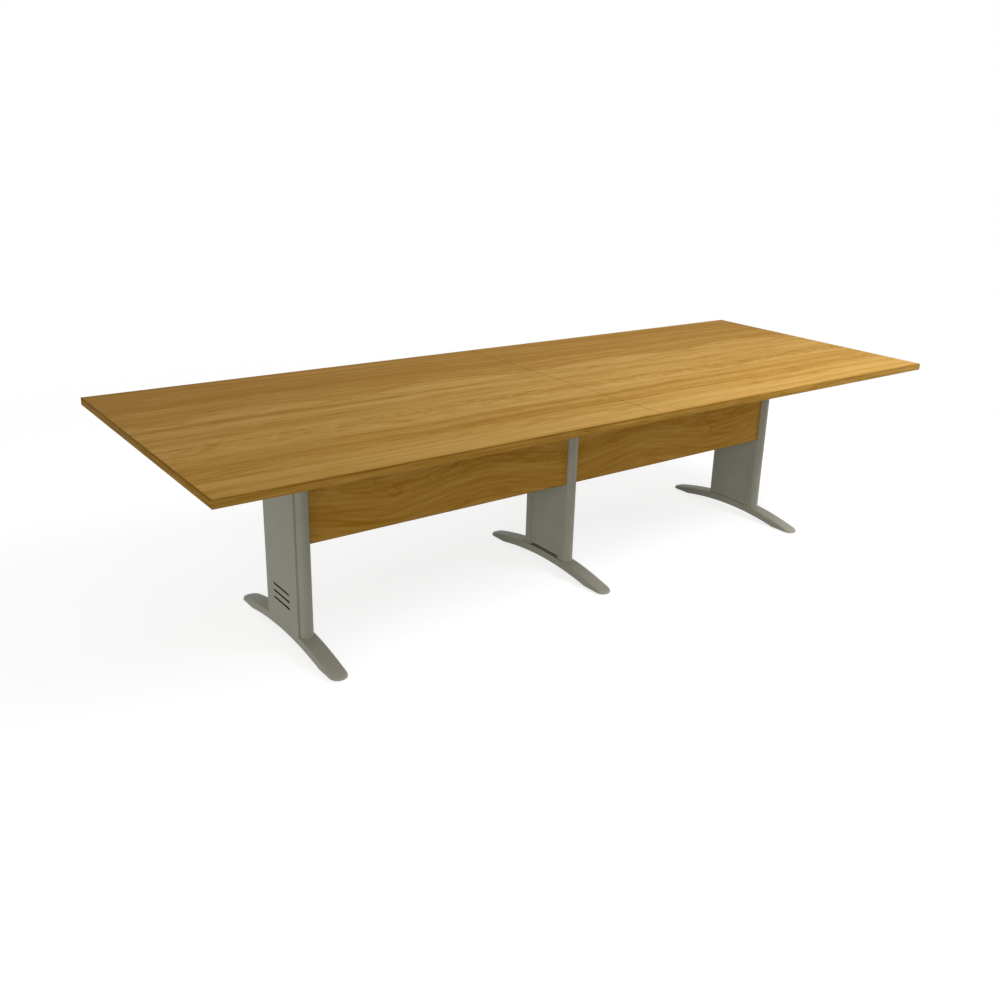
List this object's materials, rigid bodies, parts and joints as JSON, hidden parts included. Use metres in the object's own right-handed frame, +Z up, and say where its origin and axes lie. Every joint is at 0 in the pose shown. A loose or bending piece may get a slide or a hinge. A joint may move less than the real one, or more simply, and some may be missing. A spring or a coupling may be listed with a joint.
{
  "type": "conference table",
  "caption": "Long rectangular meeting table: wood-look top in two halves, steel panel legs with cable raceways on arched feet, and modesty boards between the legs.",
  "frame": {"origin": "on the floor under the middle of the top", "axes": "+X along the table's length, +Z up, -Y towards the side where the modesty boards stand"},
  "size_m": [3, 1.1, 0.735],
  "materials": {
    "laminate": "satin wood-grain laminate",
    "edge_band": "satin wood-grain edge band",
    "painted_steel": "fine-textured powder coat, warm grey",
    "glide_plastic": "moulded black",
    "zinc_steel": "zinc plated",
    "dowel_wood": "bare beech"
  },
  "bodies": {
    "table_frame": {"edge_band_left_end": "edge_band", "edge_band_left_front": "edge_band", "edge_band_left_rear": "edge_band", "edge_band_left_seam": "edge_band", "edge_band_right_end": "edge_band", "edge_band_right_front": "edge_band", "edge_band_right_rear": "edge_band", "edge_band_right_seam": "edge_band", "left_column_front": "painted_steel", "left_column_rear": "painted_steel", "left_foot": "painted_steel", "left_rail_screw_1": "zinc_steel", "left_rail_screw_2": "zinc_steel", "left_rail_screw_3": "zinc_steel", "left_rail_screw_4": "zinc_steel", "left_top_rail": "painted_steel", "left_web_panel": "painted_steel", "middle_column_front": "painted_steel", "middle_column_rear": "painted_steel", "middle_foot": "painted_steel", "middle_rail_screw_1": "zinc_steel", "middle_rail_screw_2": "zinc_steel", "middle_rail_screw_3": "zinc_steel", "middle_rail_screw_4": "zinc_steel", "middle_top_rail": "painted_steel", "middle_web_panel": "painted_steel", "modesty_board_left": "laminate", "modesty_board_right": "laminate", "modesty_edge_band_left": "edge_band", "modesty_edge_band_right": "edge_band", "modesty_lug_left_a": "painted_steel", "modesty_lug_left_b": "painted_steel", "modesty_lug_right_a": "painted_steel", "modesty_lug_right_b": "painted_steel", "modesty_screw_left_a": "zinc_steel", "modesty_screw_left_b": "zinc_steel", "modesty_screw_right_a": "zinc_steel", "modesty_screw_right_b": "zinc_steel", "right_column_front": "painted_steel", "right_column_rear": "painted_steel", "right_foot": "painted_steel", "right_rail_screw_1": "zinc_steel", "right_rail_screw_2": "zinc_steel", "right_rail_screw_3": "zinc_steel", "right_rail_screw_4": "zinc_steel", "right_top_rail": "painted_steel", "right_web_panel": "painted_steel", "seam_dowel_front": "dowel_wood", "seam_dowel_rear": "dowel_wood", "top_board_left": "laminate", "top_board_right": "laminate"},
    "left_glide_front": {"left_levelling_glide_front": "glide_plastic"},
    "left_glide_rear": {"left_levelling_glide_rear": "glide_plastic"},
    "middle_glide_front": {"middle_levelling_glide_front": "glide_plastic"},
    "middle_glide_rear": {"middle_levelling_glide_rear": "glide_plastic"},
    "right_glide_front": {"right_levelling_glide_front": "glide_plastic"},
    "right_glide_rear": {"right_levelling_glide_rear": "glide_plastic"},
    "left_cover": {"left_raceway_cover": "painted_steel"},
    "middle_cover": {"middle_raceway_cover": "painted_steel"},
    "right_cover": {"right_raceway_cover": "painted_steel"}
  },
  "joints": [
    {"name": "left_glide_front_screw", "type": "slide", "parent": "table_frame", "child": "left_glide_front", "axis": [0, 0, -1], "range_m": [0, 0.008]},
    {"name": "left_glide_rear_screw", "type": "slide", "parent": "table_frame", "child": "left_glide_rear", "axis": [0, 0, -1], "range_m": [0, 0.008]},
    {"name": "middle_glide_front_screw", "type": "slide", "parent": "table_frame", "child": "middle_glide_front", "axis": [0, 0, -1], "range_m": [0, 0.008]},
    {"name": "middle_glide_rear_screw", "type": "slide", "parent": "table_frame", "child": "middle_glide_rear", "axis": [0, 0, -1], "range_m": [0, 0.008]},
    {"name": "right_glide_front_screw", "type": "slide", "parent": "table_frame", "child": "right_glide_front", "axis": [0, 0, -1], "range_m": [0, 0.008]},
    {"name": "right_glide_rear_screw", "type": "slide", "parent": "table_frame", "child": "right_glide_rear", "axis": [0, 0, -1], "range_m": [0, 0.008]},
    {"name": "left_cover_pull", "type": "slide", "parent": "table_frame", "child": "left_cover", "axis": [-1, 0, 0], "range_m": [0, 0.12]},
    {"name": "middle_cover_pull", "type": "slide", "parent": "table_frame", "child": "middle_cover", "axis": [-1, 0, 0], "range_m": [0, 0.12]},
    {"name": "right_cover_pull", "type": "slide", "parent": "table_frame", "child": "right_cover", "axis": [1, 0, 0], "range_m": [0, 0.12]}
  ]
}
